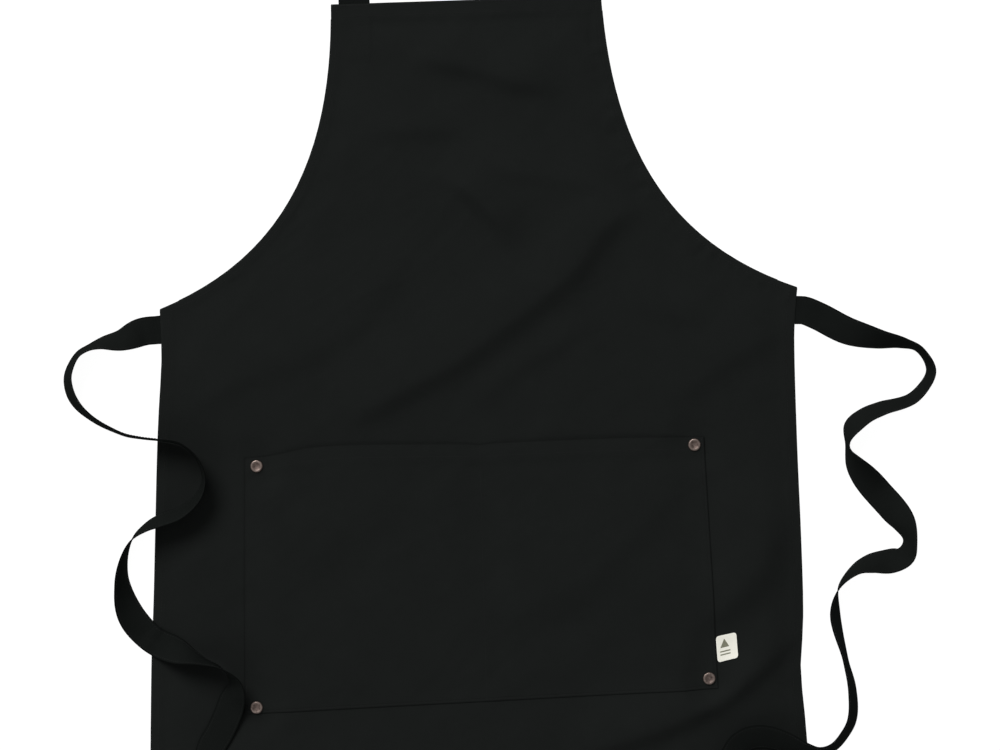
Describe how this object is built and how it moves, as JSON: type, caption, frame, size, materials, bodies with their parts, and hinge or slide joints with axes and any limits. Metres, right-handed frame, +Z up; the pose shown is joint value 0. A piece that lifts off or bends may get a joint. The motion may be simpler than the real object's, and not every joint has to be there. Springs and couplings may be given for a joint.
{
  "type": "bib apron",
  "caption": "Black cotton canvas bib apron laid flat, front up, with neck strap, waist ties, divided patch pocket, corner rivets and side tab.",
  "frame": {"origin": "on the surface the apron lies on, under the middle of the apron's bounding box (straps not counted)", "axes": "+Z up, out of the apron's front; +Y from the hem to the bib; +X to the right as seen from above"},
  "size_m": [0.9196, 1.1771, 0.036],
  "materials": {
    "canvas": "matt black cotton canvas",
    "strap_cotton": "matt black cotton, folded and stitched",
    "label_cotton": "matt cream cotton",
    "rivet_copper": "dark antique copper, satin",
    "thread_black": "black sewing thread, slight sheen"
  },
  "bodies": {
    "skirt": {"skirt_panel": "canvas", "side_hem_left": "canvas", "side_hem_right": "canvas", "bottom_hem": "canvas", "pocket_panel": "canvas", "pocket_mouth_hem": "canvas", "rivet_cap_top_left": "rivet_copper", "rivet_cap_top_right": "rivet_copper", "rivet_cap_bottom_left": "rivet_copper", "rivet_cap_bottom_right": "rivet_copper", "rivet_back_top_left": "rivet_copper", "rivet_back_top_right": "rivet_copper", "rivet_back_bottom_left": "rivet_copper", "rivet_back_bottom_right": "rivet_copper", "waist_tie_left": "strap_cotton", "waist_tie_right": "strap_cotton", "tie_end_left": "strap_cotton", "tie_end_right": "strap_cotton"},
    "bib": {"bib_panel": "canvas", "bib_top_hem": "canvas", "armhole_hem_left": "canvas", "armhole_hem_right": "canvas", "neck_strap": "strap_cotton", "neck_end_left": "strap_cotton", "neck_end_right": "strap_cotton"},
    "label": {"side_label": "label_cotton"}
  },
  "joints": [
    {"name": "bib_fold", "type": "hinge", "parent": "skirt", "child": "bib", "pos_m": [-0.00215, 0.1197, 0.011], "axis": [0.9994, 0.0346, 0], "range_deg": [0, 175]},
    {"name": "label_flip", "type": "hinge", "parent": "skirt", "child": "label", "pos_m": [0.2498, -0.2527, 0.0043], "axis": [0.0764, -0.9971, 0], "range_deg": [0, 150]}
  ]
}
